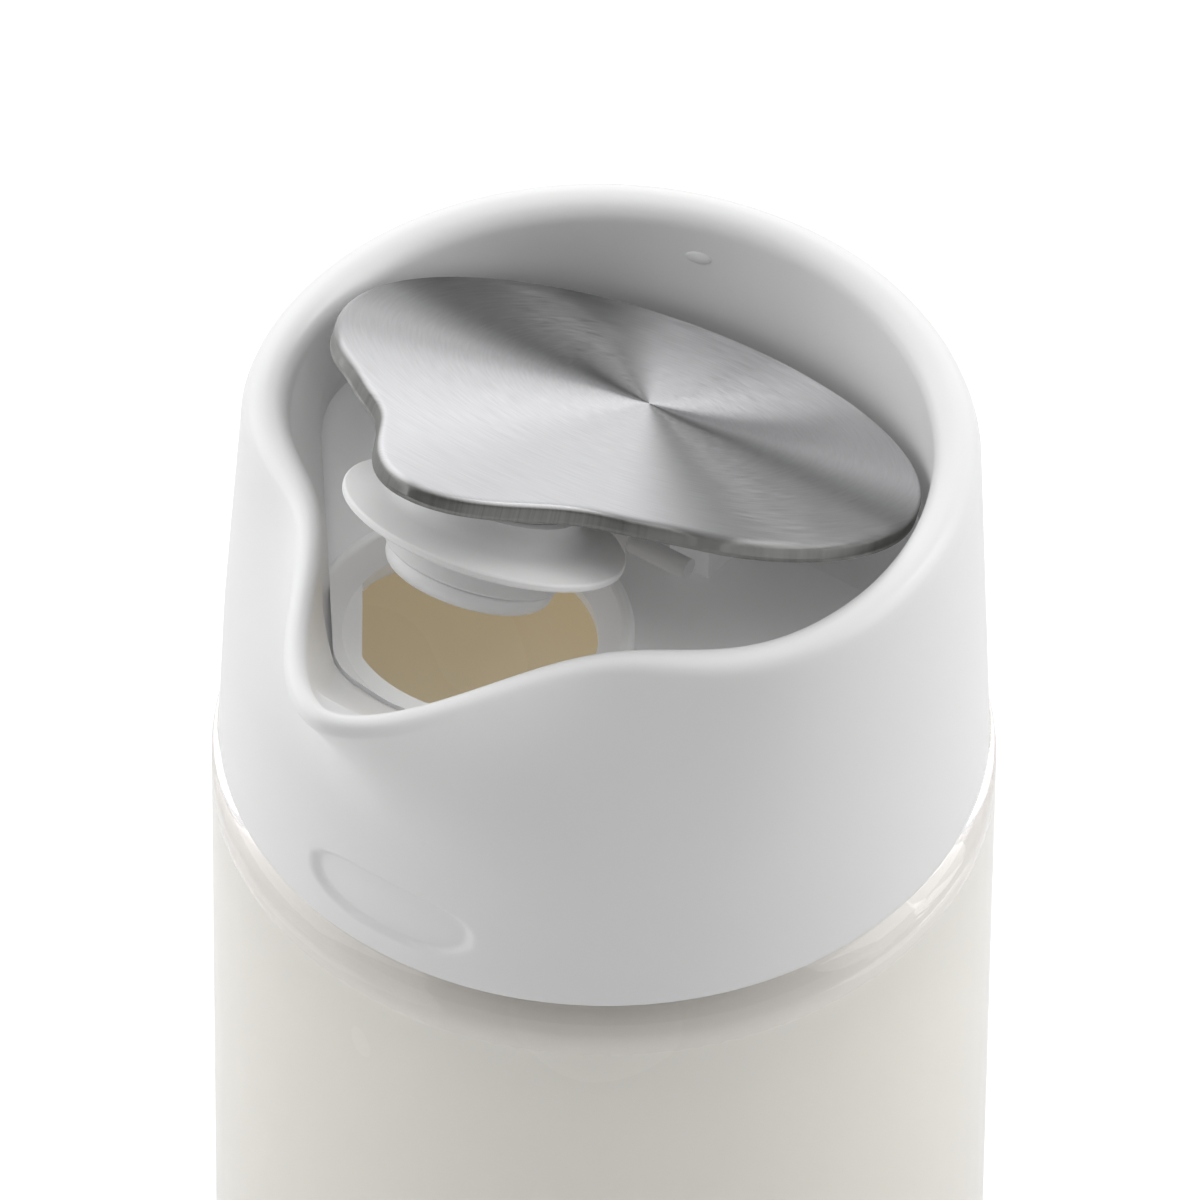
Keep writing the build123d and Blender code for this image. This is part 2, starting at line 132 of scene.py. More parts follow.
# Cream in the bottle, as the photo shows it: it wets the glass all round and stands in the neck,
# so it is spun from the bottle's inner outline and rides with the bottle.
body_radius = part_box("glass_bottle")[1].x
glass_wall = 2.8 * mm
joint_height = 107 * mm
cream_wetting = 0.04 * mm        # the cream reaches this far into the wall, so no air shows between
cream_foot = 6.0 * mm
cream_level = joint_height + 18.0 * mm
cream_shoulder = joint_height - 3.1 * mm
cream_shoulder_drop = 1.5 * mm
neck_bore = 28.7 * mm
neck_top = joint_height + 12.7 * mm
collar_clearance = 0.1 * mm
spin_steps = 128


def spun(name, outline):
    """Spin an outline of (radius, height) points that starts and ends on the axis into a closed body."""
    bm = bmesh.new()
    line = [bm.verts.new((radius, 0.0, height)) for radius, height in outline]
    edges = [bm.edges.new(pair) for pair in zip(line, line[1:])]
    bmesh.ops.spin(bm, geom=line + edges, cent=(0, 0, 0), axis=(0, 0, 1), angle=math.tau,
                   steps=spin_steps, use_merge=True)
    bmesh.ops.remove_doubles(bm, verts=bm.verts, dist=0.001 * mm)
    bmesh.ops.recalc_face_normals(bm, faces=bm.faces)
    return shown(name, bm)


def shown(name, bm):
    """Make an object of a finished bmesh."""
    mesh = bpy.data.meshes.new(name)
    bm.to_mesh(mesh)
    bm.free()
    mesh.shade_smooth()
    piece = bpy.data.objects.new(name, mesh)
    bpy.context.scene.collection.objects.link(piece)
    return piece


def arc(middle, radius, start, end, steps=8):
    """Points of an arc in the (radius, height) plane, angles in degrees."""
    turns = [math.radians(start + (end - start) * step / steps) for step in range(steps + 1)]
    return [(middle[0] + radius * math.cos(turn), middle[1] + radius * math.sin(turn)) for turn in turns]


def cream_material(name, low_tone, high_tone, cream_painted_glow=0.0):
    """Cream: dense, pale, softly shiny; where given, a painted glow lights it though no lamp is there."""
    material, tree, output = new_material(name)
    cream = tree.nodes.new("ShaderNodeBsdfPrincipled")
    tree.links.new(tinted(tree, mottle(tree, 30 * mm, 0.0), low_tone, high_tone), cream.inputs["Base Color"])
    tree.links.new(spread(tree, mottle(tree, 20 * mm, 0.0), 0.24, 0.28), cream.inputs["Roughness"])
    cream.inputs["IOR"].default_value = 1.35
    cream.inputs["Subsurface Weight"].default_value = 0.5
    cream.inputs["Subsurface Radius"].default_value = (1.0, 0.95, 0.85)
    cream.inputs["Subsurface Scale"].default_value = 7.0 * mm
    cream.inputs["Emission Color"].default_value = (1.0, 0.84, 0.58, 1.0)
    cream.inputs["Emission Strength"].default_value = cream_painted_glow
    tree.links.new(cream.outputs["BSDF"], output.inputs["Surface"])
    return material


wall = body_radius - glass_wall + cream_wetting
glass_neck = neck_bore + cream_wetting
collar_neck = neck_bore - collar_clearance
foot_round = 5.0 * mm
shoulder_round = 3.5 * mm
shoulder_turn = 75                # degrees of round before the shoulder slopes to the neck
shoulder_middle = (wall - shoulder_round, cream_shoulder - cream_shoulder_drop - shoulder_round)
meniscus = 0.8 * mm
cream_outline = [(0.0, cream_foot)]
cream_outline += arc((wall - foot_round, cream_foot + foot_round), foot_round, -90, 0)
cream_outline += arc(shoulder_middle, shoulder_round, 0, shoulder_turn)
cream_outline += [(glass_neck, cream_shoulder), (glass_neck, neck_top - meniscus)]
cream_outline += [(collar_neck, neck_top), (collar_neck, cream_level + meniscus)]
cream_outline += [(collar_neck - 0.4 * meniscus, cream_level + 0.4 * meniscus)]
cream_outline += [(collar_neck - 1.5 * meniscus, cream_level)]
cream_outline += [(collar_neck * 0.6, cream_level), (0.0, cream_level)]
cream = spun("cream_fill", cream_outline)
poured_cream = cream_material("poured_cream", (0.785, 0.772, 0.72), (0.80, 0.787, 0.735))
# The top faces in the neck get a warmer, deeper painted shade tone and a faint painted glow.
cream_top_painted = cream_material("cream_top_painted_shade_and_glow", (0.90, 0.80, 0.60), (0.92, 0.82, 0.63), cream_painted_glow=0.1)
cream.data.materials.append(poured_cream)
cream.data.materials.append(cream_top_painted)
for face in cream.data.polygons:
    face.material_index = int(face.center.z > neck_top)
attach(cream, "bottle")


# Neck gasket. A flat ring of soft grey-white silicone that the head presses on the glass; it
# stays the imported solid, with its dull rubber finish.
def soft_silicone():
    """Soft white silicone: dull, milky, with a fine cast skin."""
    material, tree, output = new_material("soft_silicone_white")
    soft = tree.nodes.new("ShaderNodeBsdfPrincipled")
    tree.links.new(tinted(tree, mottle(tree, 5 * mm), (0.70, 0.70, 0.70), (0.735, 0.735, 0.735)),
                   soft.inputs["Base Color"])
    tree.links.new(spread(tree, mottle(tree, 1.5 * mm), 0.42, 0.52), soft.inputs["Roughness"])
    tree.links.new(ripple(tree, mottle(tree, 0.35 * mm), 0.006 * mm), soft.inputs["Normal"])
    soft.inputs["Subsurface Weight"].default_value = 0.3
    soft.inputs["Subsurface Radius"].default_value = (1.0, 0.9, 0.8)
    soft.inputs["Subsurface Scale"].default_value = 1.2 * mm
    tree.links.new(soft.outputs["BSDF"], output.inputs["Surface"])
    return material


silicone = soft_silicone()
finish_node("neck_gasket", silicone)


# Outer shell of the pouring head. One white glossy moulding: straight skin with a bare oval field,
# a rolled rim that swells into the beak, and the inside that falls from the rim to the pour floor.
head_radius = 38.3 * mm
head_draft = 0.042
rim_height = 41.65 * mm
rim_slope = 0.0304
rim_radius = 34.25 * mm
lip_half_width = 1.15 * mm
lip_spread = 42.0
hem_rounding = 0.5 * mm
beak_reach = 13.9 * mm
beak_spread = 15.9
beak_sharpness = 1.77
beak_pinch = 3.2 * mm
pinch_angle = 37.4
pinch_spread = 19.1
beak_start = 15.0 * mm
lip_depth = 1.5 * mm
beak_flare = 1.5
flank_distance = 27.85 * mm
flank_angle = 52.2
bowl_softness = 24.0
seat_height = 34.2 * mm
channel_start = 35.9 * mm
channel_flare = 1.6
channel_softness = 1.5 / mm
lip_inside = 46.6 * mm
ledge_height = 22.0 * mm
skin_bore = 35.2 * mm
seam_press = 0.12 * mm          # the inner wall closes on the insert, so that the seam is only a crease
rim_half_width = head_radius - head_draft * rim_height - rim_radius
rim_foot = rim_height - rim_half_width
ring_points = 288
beak_crowding = 0.65            # how much closer the points stand round the beak and the badge field


def bulge(angle, reach, spread_angle, sharpness, pinch, at, width):
    """How far an outline leaves its circle at an angle from the beak, in degrees."""
    away = abs(angle)
    peak = reach * math.exp(-((away / spread_angle) ** sharpness))
    return peak - pinch * math.exp(-(((away - at) / width) ** 2))


def ray(angle, length):
    """A level point at an angle from the beak, which is -Y."""
    turn = math.radians(angle - 90.0)
    return Vector((math.cos(turn) * length, math.sin(turn) * length, 0.0))


def beside(radius_at, angle, offset):
    """A point of an outline, moved outwards square to it."""
    along = ray(angle + 0.25, radius_at(angle + 0.25)) - ray(angle - 0.25, radius_at(angle - 0.25))
    along.normalize()
    return ray(angle, radius_at(angle)) + Vector((along.y, -along.x, 0.0)) * offset


def crest(share):
    """Radius of the rim's crest line, with the beak at a share of its full reach."""
    shape = (beak_spread, beak_sharpness, beak_pinch * share, pinch_angle, pinch_spread)
    return lambda angle: rim_radius + bulge(angle, beak_reach * share, *shape)


def beak_share(height):
    """Share of the beak's reach at a height."""
    climbed = (height - beak_start) / (rim_height - lip_depth - beak_start)
    return min(1.0, max(0.0, climbed)) ** beak_flare


def rim_half(angle):
    """Half the rim's width at an angle from the beak: thinner round the beak."""
    return rim_half_width - (rim_half_width - lip_half_width) * math.exp(-((abs(angle) / lip_spread) ** 4))


def rim_side(angle, depth):
    """How far the rolled rim stands off its crest line, this deep below the crest."""
    half = rim_half(angle)
    below = max(0.0, half - depth)
    return math.sqrt(max(0.0, half * half - below * below))


def lifted(point, height):
    """The point at a height, tilted more and more like the rim on the way up."""
    return Vector((point.x, point.y, height * (1 - rim_slope * point.y / rim_height)))


badge_length = 20.2 * mm
badge_height = 7.4 * mm
badge_depth = 0.62 * mm
badge_middle = 6.6 * mm
badge_edge = 0.48 * mm
badge_fullness = 2.4              # 2 makes an ellipse, more fills out its ends


def badge_sink(across, height):
    """Depth of the bare oval field below the beak, with a soft edge."""
    sideways = (2 * abs(across) / badge_length) ** badge_fullness
    upwards = (2 * abs(height - badge_middle) / badge_height) ** badge_fullness
    margin = (1 - (sideways + upwards) ** (1 / badge_fullness)) * badge_height / 2
    share = min(1.0, max(0.0, margin / badge_edge))
    return badge_depth * share * share * (3 - 2 * share)


def outside(height, inset=0.0):
    """Where the head's outside lies at a height, as a function of the angle."""
    share = beak_share(height)
    full = head_radius - head_draft * height - rim_radius - inset

    def at(angle):
        half = rim_half(angle)
        if rim_height - height < half:
            offset = rim_side(angle, rim_height - height)
        else:
            offset = full - (rim_half_width - half) * share
        point = beside(crest(share), angle, offset)
        if height < beak_start and abs(angle) < 90:
            point -= point.normalized() * badge_sink(math.radians(angle) * head_radius, height)
        return lifted(point, height)

    return at


def channel_front(height):
    """How far forward the inside reaches: the pour channel's floor, seen as a front wall."""
    climbed = min(1.0, max(0.0, (height - seat_height) / (rim_height - seat_height)))
    return channel_start + (lip_inside - channel_start) * climbed ** (1 / channel_flare)


def seat_radius(angle):
    """Radius of the inner wall at the pour floor: two straight flanks, then round at the back."""
    past_flank = abs(angle) - flank_angle
    facing = math.cos(math.radians(past_flank))
    total = 0.0
    if facing > 0.1:
        total += (flank_distance / facing / mm) ** -bowl_softness
    if past_flank > 0:
        total += ((rim_radius - rim_half_width) / mm) ** -bowl_softness
    return total ** (-1 / bowl_softness) * mm


def inside(height):
    """Where the head's inner wall lies at a height, as a function of the angle."""
    depth = max(0.0, rim_height - height)
    front = channel_front(height)

    def at(angle):
        edge = beside(crest(1.0), angle, -rim_side(angle, depth))
        seen = math.degrees(math.atan2(edge.x, -edge.y))
        half = rim_half(seen)
        sunk = min(1.0, max(0.0, (depth - half) / (rim_height - seat_height - half)))
        point = edge.normalized() * (edge.length * (1 - sunk) + (seat_radius(seen) - seam_press) * sunk)
        forward = -point.y
        if depth >= half:
            forward = front - math.log1p(math.exp((front - forward) * channel_softness)) / channel_softness
        return clear_of_plug(lifted(Vector((point.x, -forward, 0.0)), height))

    return at


hinge = Vector((0.0, 1.9 * mm, 36.0 * mm))
closed_tilt = math.radians(2.5)
plug_forward = 25.1 * mm
plug_room = 14.6 * mm
plug_room_low = -2.85 * mm


def clear_of_plug(point):
    """Keep the inner wall out of the round space that the plug's flange needs when shut."""
    turned = Matrix.Rotation(closed_tilt, 4, "X")
    local = turned @ (point - hinge)
    away = Vector((local.x, local.y + plug_forward, 0.0))
    if local.z <= plug_room_low or away.length >= plug_room:
        return point
    away = away.normalized() * plug_room
    return turned.inverted() @ Vector((away.x, away.y - plug_forward, local.z)) + hinge


def plain_ring(radius, height):
    """A round level ring, as a function of the angle."""
    return lambda angle: lifted(ray(angle, radius), 0.0) + Vector((0.0, 0.0, height))


def stack(levels):
    """Extrude a ring through levels; each level gives a point's place for its angle from the beak."""
    bm = bmesh.new()
    turn = bm.verts.layers.float.new("turn")
    bmesh.ops.create_circle(bm, segments=ring_points, radius=1.0)
    for vert in bm.verts:
        even = math.degrees(math.atan2(vert.co.x, -vert.co.y))
        vert[turn] = even - math.degrees(beak_crowding * math.sin(math.radians(even)))
        vert.co = levels[0](vert[turn])
    first = list(bm.edges)
    edges = first
    for level in levels[1:]:
        pulled = bmesh.ops.extrude_edge_only(bm, edges=edges)["geom"]
        for part in pulled:
            if isinstance(part, bmesh.types.BMVert):
                part.co = level(part[turn])
        edges = [part for part in pulled if isinstance(part, bmesh.types.BMEdge) and part.is_boundary]
    return bm, first, edges


def even_steps(low, high, count):
    """Heights between two heights, both ends included."""
    return [low + (high - low) * step / count for step in range(count + 1)]


rim_turns = [math.radians(turn) for turn in (0, 12, 24, 36, 48, 60, 72, 84)]
levels = [outside(hem_rounding * (1 - math.cos(turn)), hem_rounding * (1 - math.sin(turn)))
          for turn in (0.0, math.pi / 6, math.pi / 3, math.pi / 2)]
skin_heights = even_steps(1.2 * mm, 2.3 * mm, 2)
skin_heights += even_steps(2.5 * mm, 11.7 * mm, 36)       # close rows, for the edge of the oval field
skin_heights += even_steps(12.2 * mm, beak_start, 3)
skin_heights += even_steps(beak_start, rim_foot, 24)[1:]
levels += [outside(height) for height in skin_heights]
levels += [outside(rim_foot + rim_half_width * math.sin(turn)) for turn in rim_turns[1:]]
levels += [outside(rim_height)]
levels += [inside(rim_foot + rim_half_width * math.sin(turn)) for turn in reversed(rim_turns[1:])]
levels += [inside(height) for height in even_steps(rim_foot, seat_height, 14)]
levels += [inside(height) for height in even_steps(seat_height, ledge_height, 6)[1:]]
levels += [plain_ring(skin_bore, ledge_height), plain_ring(skin_bore, hem_rounding)]
levels += [plain_ring(skin_bore + hem_rounding, 0.0)]
bm, first, last = stack(levels)
bmesh.ops.bridge_loops(bm, edges=first + last)
bmesh.ops.translate(bm, verts=bm.verts, vec=(0, 0, joint_height))
bmesh.ops.recalc_face_normals(bm, faces=bm.faces)
shell = shown("pour_head_skin", bm)


def moulded_plastic(name, low_tone, high_tone, shine, skin_grain, painted_glow_strength=0.0):
    """White moulded plastic: even tone with faint flow clouding, a soft gloss, a fine skin and, where given,
    a faint painted glow that lifts its shade."""
    material, tree, output = new_material(name)
    plastic = tree.nodes.new("ShaderNodeBsdfPrincipled")
    tree.links.new(tinted(tree, mottle(tree, 18 * mm), low_tone, high_tone), plastic.inputs["Base Color"])
    tree.links.new(spread(tree, mottle(tree, 9 * mm), shine - 0.02, shine + 0.02),
                   plastic.inputs["Roughness"])
    tree.links.new(ripple(tree, mottle(tree, skin_grain), 0.001 * mm), plastic.inputs["Normal"])
    plastic.inputs["IOR"].default_value = 1.5
    plastic.inputs["Emission Color"].default_value = (1.0, 1.0, 1.0, 1.0)
    plastic.inputs["Emission Strength"].default_value = painted_glow_strength
    plastic.inputs["Subsurface Weight"].default_value = 0.12
    plastic.inputs["Subsurface Radius"].default_value = (1.0, 0.95, 0.9)
    plastic.inputs["Subsurface Scale"].default_value = 1.0 * mm
    tree.links.new(plastic.outputs["BSDF"], output.inputs["Surface"])
    return material


gloss_white = moulded_plastic("white_gloss_moulding", (0.80, 0.80, 0.80), (0.83, 0.83, 0.83), 0.3, 0.6 * mm)
shell.data.materials.append(gloss_white)
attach(shell, "head")
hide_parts("pour_head_shell")


# Moulding nub on the inner back wall: the small flattened mark left where the mould's pin stood.
# It is a low oval button sunk in the wall.
nub_angle = 18.0
nub_height = joint_height + 35.1 * mm
nub_half_width = 1.45 * mm
nub_half_height = 0.8 * mm
nub_stand = 0.4 * mm
bm = bmesh.new()
bmesh.ops.create_uvsphere(bm, u_segments=32, v_segments=16, radius=1.0)
bmesh.ops.scale(bm, verts=bm.verts, vec=(nub_half_width, nub_stand, nub_half_height))
nub_turn = Matrix.Rotation(math.radians(nub_angle), 4, "Z")
nub_place = nub_turn @ Matrix.Translation((0.0, rim_radius - rim_half_width, nub_height))
bmesh.ops.transform(bm, matrix=nub_place, verts=bm.verts)
nub = shown("moulding_nub", bm)
nub.data.materials.append(gloss_white)
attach(nub, "head")


# Pour insert. The satin white inside of the head, with the pour floor, the ring round the hole,
# the hinge ears and the threaded collar; and the steel pin pressed through its ears.
# The insert gets a faint painted glow all over, which lifts its shaded floor.
satin_white = moulded_plastic("white_satin_moulding", (0.85, 0.85, 0.85), (0.87, 0.87, 0.87), 0.38, 0.4 * mm,
                              painted_glow_strength=0.05)
finish_node("pour_insert", satin_white)


def turned_steel():
    """Bare turned steel for the pin and the screw, with fine lathe rings."""
    material, tree, output = new_material("turned_pin_steel")
    steel = tree.nodes.new("ShaderNodeBsdfPrincipled")
    tree.links.new(tinted(tree, mottle(tree, 1.0 * mm), (0.56, 0.56, 0.555), (0.64, 0.64, 0.63)),
                   steel.inputs["Base Color"])
    steel.inputs["Metallic"].default_value = 1.0
    tree.links.new(spread(tree, mottle(tree, 0.4 * mm), 0.22, 0.34), steel.inputs["Roughness"])
    tree.links.new(ripple(tree, mottle(tree, 0.12 * mm), 0.004 * mm), steel.inputs["Normal"])
    tree.links.new(steel.outputs["BSDF"], output.inputs["Surface"])
    return material


pin_steel = turned_steel()
finish_node("hinge_pin", pin_steel)


# Lid plate. Pressed stainless sheet, round-brushed: its edge is turned down, its nose follows the
# beak, and a shallow dish at the back takes the thumb. It is drawn level, then tipped open.
plate_top = 5.9 * mm
plate_under = 3.9 * mm
sheet = 0.8 * mm
plate_radius = 30.0 * mm
plate_centre = 1.0 * mm
nose_reach = 12.9 * mm
nose_spread = 15.7
nose_sharpness = 2.14
nose_pinch = 0.5 * mm
nose_pinch_angle = 41.5
nose_pinch_spread = 8.0
edge_rounding = 0.75 * mm
edge_easing = 0.3 * mm            # flat sheet between the edge's round and the next ring
dish_radius = 110.0 * mm
dish_depth = 0.9 * mm
dish_back = 15.0 * mm
dish_softness = 0.06 * mm
brush_back = 3.0 * mm
brush_step = 0.28 * mm
brush_length = 6.0                # strands per radian; fewer are longer
# The way, about the brushing middle, of the dark wedges of painted reflection.
painted_wedge_way = math.radians(70)
open_tilt = math.radians(29.5)
lid_place = Matrix.Translation(hinge + Vector((0, 0, joint_height))) @ Matrix.Rotation(-open_tilt, 4, "X")


def plate_outline(angle):
    """Radius of the lid's outline about the plate's centre."""
    shape = (nose_reach, nose_spread, nose_sharpness, nose_pinch, nose_pinch_angle, nose_pinch_spread)
    return plate_radius + bulge(angle, *shape)


def dished(point):
    """Press the thumb dish into a point of the plate's top."""
    away = math.hypot(point.x, point.y - dish_back)
    floor = plate_top - dish_depth + away * away / (2 * dish_radius)
    over = (point.z - floor) / dish_softness
    point.z -= dish_softness * math.log1p(math.exp(min(40.0, over)))
    return point


def plate_ring(offset, height):
    """A ring of the plate inside its outline, at a height."""
    return lambda angle: beside(plate_outline, angle, offset) + Vector((0.0, -plate_centre, height))


def plate_share(share):
    """A ring of the plate's top that shrinks to its centre."""
    def at(angle):
        edge = beside(plate_outline, angle, -edge_rounding - 2 * edge_easing)
        return dished(edge * share + Vector((0.0, -plate_centre, plate_top)))
    return at


edge_turns = [math.radians(turn) for turn in even_steps(0, 90, 9)]
levels = [plate_ring(0.0, height) for height in even_steps(plate_under, plate_top - edge_rounding, 3)[:-1]]
levels += [plate_ring(-edge_rounding * (1 - math.cos(turn)), plate_top - edge_rounding * (1 - math.sin(turn)))
           for turn in edge_turns]
levels += [plate_ring(-edge_rounding - edge_easing, plate_top)]
levels += [plate_share(share) for share in even_steps(1.0, 0.02, 48)]
bm, first, last = stack(levels)
bmesh.ops.contextual_create(bm, geom=last)
bmesh.ops.poke(bm, faces=[face for face in bm.faces if len(face.verts) > 4])
bmesh.ops.recalc_face_normals(bm, faces=bm.faces)
bmesh.ops.transform(bm, matrix=lid_place, verts=bm.verts)
plate = shown("lid_plate_pressing", bm)
thickness = plate.modifiers.new("sheet_thickness", "SOLIDIFY")
thickness.thickness = sheet
thickness.offset = -1.0
thickness.use_even_offset = True


def brushed_steel():
    """Stainless sheet brushed in rings about the plate's middle, so that gloss spreads along its spokes, with
    painted dark reflection wedges and a painted shaded edge in its colour.
    """
    material, tree, output = new_material("round_brushed_steel")
    links = tree.links
    middle = lid_place @ Vector((0.0, brush_back, plate_top))
    nose_way = lid_place.to_3x3() @ Vector((0.0, -1.0, 0.0))
    side_way = Vector((1.0, 0.0, 0.0))
    face_way = lid_place.to_3x3() @ Vector((0.0, 0.0, 1.0))

    def vector_math(operation, first, second):
        node = tree.nodes.new("ShaderNodeVectorMath")
        node.operation = operation
        links.new(first, node.inputs[0])
        node.inputs[1].default_value = second
        return node.outputs

    def number_math(operation, first, *numbers):
        node = tree.nodes.new("ShaderNodeMath")
        node.operation = operation
        links.new(first, node.inputs[0])
        for number, socket in zip(numbers, node.inputs[1:]):
            socket.default_value = number
        return node.outputs["Value"]

    def blend(factor, first, second):
        mix = tree.nodes.new("ShaderNodeMix")
        mix.data_type = "RGBA"
        links.new(factor, mix.inputs["Factor"])
        links.new(first, mix.inputs["A"])
        links.new(second, mix.inputs["B"])
        return mix.outputs["Result"]

    spoke = vector_math("SUBTRACT", place_of(tree), middle)["Vector"]
    far = vector_math("LENGTH", spoke, (0, 0, 0))["Value"]
    round_turn = tree.nodes.new("ShaderNodeMath")
    round_turn.operation = "ARCTAN2"
    links.new(vector_math("DOT_PRODUCT", spoke, side_way)["Value"], round_turn.inputs[0])
    links.new(vector_math("DOT_PRODUCT", spoke, nose_way)["Value"], round_turn.inputs[1])
    turn = round_turn.outputs["Value"]

    strands = tree.nodes.new("ShaderNodeCombineXYZ")
    links.new(number_math("MULTIPLY", far, 1.0 / brush_step), strands.inputs["X"])
    links.new(number_math("MULTIPLY", turn, brush_length), strands.inputs["Y"])
    scratches = tree.nodes.new("ShaderNodeTexNoise")
    scratches.inputs["Scale"].default_value = 1.0
    scratches.inputs["Detail"].default_value = 3.0
    links.new(strands.outputs["Vector"], scratches.inputs["Vector"])
    grain = scratches.outputs["Fac"]

    # Painted reflection: two opposite wedges about the brushing middle are darkened in the colour, like the
    # dark bow-tie of the brushed sheet.
    painted_wedge = tree.nodes.new("ShaderNodeMapRange")
    painted_wedge.interpolation_type = "SMOOTHSTEP"
    painted_wedge.inputs["From Min"].default_value = -0.1
    painted_wedge.inputs["From Max"].default_value = 0.85
    doubled = number_math("MULTIPLY_ADD", turn, 2.0, -2.0 * painted_wedge_way)
    links.new(number_math("COSINE", doubled), painted_wedge.inputs["Value"])
    lit_lay = tinted(tree, grain, (0.60, 0.60, 0.61), (0.82, 0.82, 0.835))
    painted_dark_lay = tinted(tree, grain, (0.15, 0.15, 0.152), (0.32, 0.32, 0.325))
    steel_with_painted_wedge = blend(painted_wedge.outputs["Result"], lit_lay, painted_dark_lay)

    # Painted shade: the turned-down edge is darkened in the colour the more it faces away from the top.
    outward = tree.nodes.new("ShaderNodeTexCoord").outputs["Normal"]
    painted_edge_shade = tree.nodes.new("ShaderNodeMapRange")
    painted_edge_shade.inputs["From Min"].default_value = 0.9
    painted_edge_shade.inputs["From Max"].default_value = 0.3
    links.new(vector_math("DOT_PRODUCT", outward, face_way)["Value"], painted_edge_shade.inputs["Value"])
    painted_dark_edge_lay = tinted(tree, grain, (0.14, 0.14, 0.135), (0.42, 0.42, 0.41))
    tone = blend(painted_edge_shade.outputs["Result"], steel_with_painted_wedge, painted_dark_edge_lay)

    spoke_way = tree.nodes.new("ShaderNodeVectorTransform")
    spoke_way.vector_type = "VECTOR"
    spoke_way.convert_from = "OBJECT"
    spoke_way.convert_to = "WORLD"
    links.new(spoke, spoke_way.inputs["Vector"])
    steel = tree.nodes.new("ShaderNodeBsdfPrincipled")
    steel.inputs["Metallic"].default_value = 1.0
    steel.inputs["Anisotropic"].default_value = 0.98
    links.new(tone, steel.inputs["Base Color"])
    links.new(spread(tree, grain, 0.34, 0.44), steel.inputs["Roughness"])
    links.new(ripple(tree, grain, 0.006 * mm), steel.inputs["Normal"])
    links.new(spoke_way.outputs["Vector"], steel.inputs["Tangent"])
    links.new(steel.outputs["BSDF"], output.inputs["Surface"])
    return material


plate.data.materials.append(brushed_steel())
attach(plate, "lid")
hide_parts("lid_plate")


# Lid carrier, soft plug and its cap. The white moulding nested in the plate with the hinge arms and
# the cross rod, the umbrella-shaped silicone plug on its boss, the round cap and its screw.
lid_white = moulded_plastic("white_lid_moulding", (0.77, 0.77, 0.77), (0.80, 0.80, 0.80), 0.36, 0.5 * mm)
cap_white = moulded_plastic("white_cap_moulding", (0.78, 0.78, 0.78), (0.81, 0.81, 0.81), 0.3, 0.5 * mm)
finish_node("lid_carrier", lid_white)
finish_node("plug_seal", silicone)
finish_node("plug_retainer", cap_white)
finish_node("seal_screw", pin_steel)


# Studio: a white floor, soft lamps on both sides and above, and a pale room that is brighter
# behind the object than in front. Floor and room are lifted to white where they are looked at.
def white_floor():
    """Pale floor: diffuse for light, lifted to white where the camera sees it."""
    material, tree, output = new_material("studio_floor")
    paper = tree.nodes.new("ShaderNodeBsdfDiffuse")
    paper.inputs["Color"].default_value = (0.82, 0.82, 0.82, 1.0)
    lift = tree.nodes.new("ShaderNodeEmission")
    lift.inputs["Strength"].default_value = 0.4
    path = tree.nodes.new("ShaderNodeLightPath")
    pick = tree.nodes.new("ShaderNodeMixShader")
    add = tree.nodes.new("ShaderNodeAddShader")
    seen = tree.nodes.new("ShaderNodeMath")
    seen.operation = "MAXIMUM"
    seen.use_clamp = True
    tree.links.new(path.outputs["Is Camera Ray"], seen.inputs[0])
    tree.links.new(path.outputs["Is Transmission Ray"], seen.inputs[1])
    tree.links.new(seen.outputs["Value"], pick.inputs["Fac"])
    tree.links.new(lift.outputs["Emission"], pick.inputs[2])
    tree.links.new(paper.outputs["BSDF"], add.inputs[0])
    tree.links.new(pick.outputs["Shader"], add.inputs[1])
    tree.links.new(add.outputs["Shader"], output.inputs["Surface"])
    return material


bm = bmesh.new()
bmesh.ops.create_grid(bm, x_segments=1, y_segments=1, size=6.0)
bmesh.ops.translate(bm, verts=bm.verts, vec=(0, 0, -0.2 * mm))
floor = shown("studio_floor", bm)
floor.data.materials.append(white_floor())

view_turn = math.radians(34.2)
light_dip = math.radians(15)      # the room is brightest this far below the horizon behind the object
front_light = 0.15
back_light = 1.35
world = bpy.data.worlds.new("white_studio")
bpy.context.scene.world = world
world.use_nodes = True
sky = world.node_tree
sky.nodes.clear()
room = sky.nodes.new("ShaderNodeBackground")
room.inputs["Color"].default_value = (1.0, 1.0, 1.0, 1.0)
facing = sky.nodes.new("ShaderNodeVectorMath")
facing.operation = "DOT_PRODUCT"
facing.inputs[1].default_value = (-math.sin(view_turn) * math.cos(light_dip),
                                  math.cos(view_turn) * math.cos(light_dip), -math.sin(light_dip))
sky.links.new(sky.nodes.new("ShaderNodeTexCoord").outputs["Generated"], facing.inputs[0])
fade = sky.nodes.new("ShaderNodeMapRange")
fade.inputs["From Min"].default_value = -1.0
fade.inputs["To Min"].default_value = front_light
fade.inputs["To Max"].default_value = back_light
sky.links.new(facing.outputs["Value"], fade.inputs["Value"])
sky.links.new(fade.outputs["Result"], room.inputs["Strength"])
backdrop = sky.nodes.new("ShaderNodeBackground")
backdrop.inputs["Color"].default_value = (1.0, 1.0, 1.0, 1.0)
backdrop.inputs["Strength"].default_value = 1.0
path = sky.nodes.new("ShaderNodeLightPath")
seen = sky.nodes.new("ShaderNodeMath")
seen.operation = "MAXIMUM"
sky.links.new(path.outputs["Is Camera Ray"], seen.inputs[0])
sky.links.new(path.outputs["Is Transmission Ray"], seen.inputs[1])
pick = sky.nodes.new("ShaderNodeMixShader")
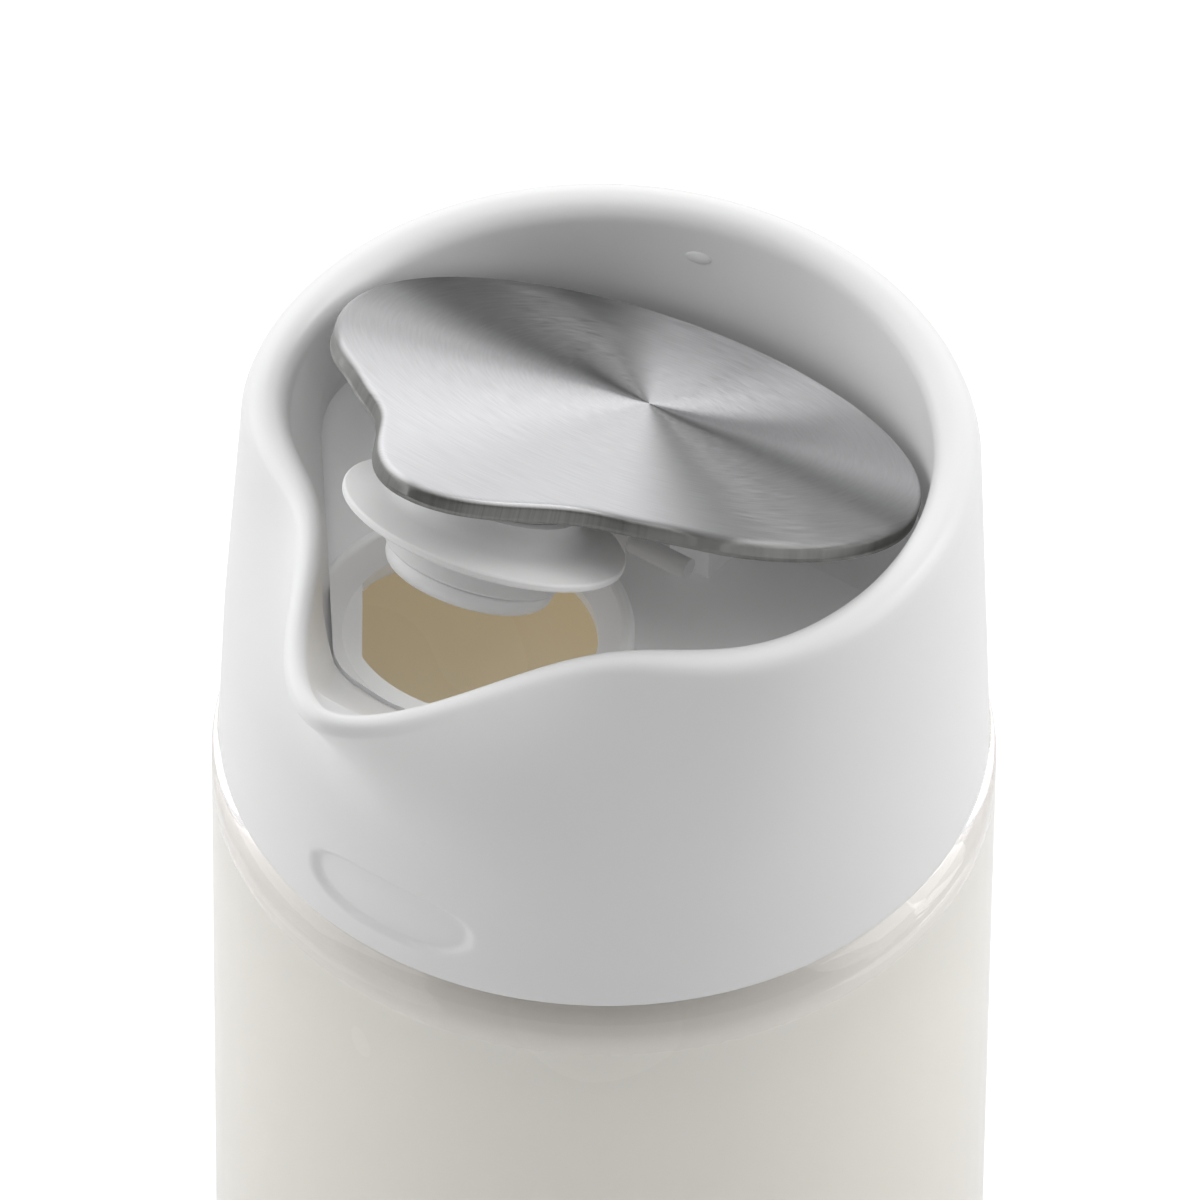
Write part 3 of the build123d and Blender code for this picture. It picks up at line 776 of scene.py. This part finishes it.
sky.links.new(seen.outputs["Value"], pick.inputs["Fac"])
sky.links.new(room.outputs["Background"], pick.inputs[1])
sky.links.new(backdrop.outputs["Background"], pick.inputs[2])
sky_output = sky.nodes.new("ShaderNodeOutputWorld")
sky.links.new(pick.outputs["Shader"], sky_output.inputs["Surface"])

view_height = math.radians(46.37)
view_distance = 2.0019
view_roll = math.radians(0.572)
aim = Vector((0.0, 0.0, joint_height))
to_camera = Vector((math.sin(view_turn) * math.cos(view_height),
                    -math.cos(view_turn) * math.cos(view_height), math.sin(view_height)))
view_right = Vector((math.cos(view_turn), math.sin(view_turn), 0.0))


def softbox(name, place, size, watts):
    """A square lamp that faces the head."""
    lamp = bpy.data.lights.new(name, "AREA")
    lamp.shape = "SQUARE"
    lamp.size = size
    lamp.energy = watts
    holder = bpy.data.objects.new(name, lamp)
    bpy.context.scene.collection.objects.link(holder)
    holder.location = place
    holder.rotation_euler = (place - aim).to_track_quat("Z", "Y").to_euler()


softbox("left_softbox", aim - view_right * 0.75 + Vector((0.1, 0.2, 0.35)), size=0.8, watts=2.1)
softbox("right_softbox", aim + view_right * 0.8 + Vector((0.0, 0.05, 0.4)), size=0.7, watts=2.4)
softbox("back_softbox", aim + Vector((0.45, 0.67, 0.59)), size=0.25, watts=0.6)
softbox("top_softbox", aim + Vector((0.1, 0.0, 0.9)), size=0.7, watts=1.0)

camera = bpy.data.cameras.new("photo_view")
camera.sensor_width = 36.0
camera.lens = 605.26
camera.clip_start = 0.1
camera.clip_end = 50.0
camera.shift_x = -0.0035
camera.shift_y = 0.1043
viewer = bpy.data.objects.new("photo_view", camera)
bpy.context.scene.collection.objects.link(viewer)
forward = -to_camera
right = forward.cross(Vector((0, 0, 1))).normalized()
up = right.cross(forward)
looking = Matrix((right, up, -forward)).transposed().to_4x4()
looking.translation = aim + to_camera * view_distance
viewer.matrix_world = looking @ Matrix.Rotation(view_roll, 4, "Z")
bpy.context.scene.camera = viewer
bpy.context.scene.view_settings.view_transform = "Standard"
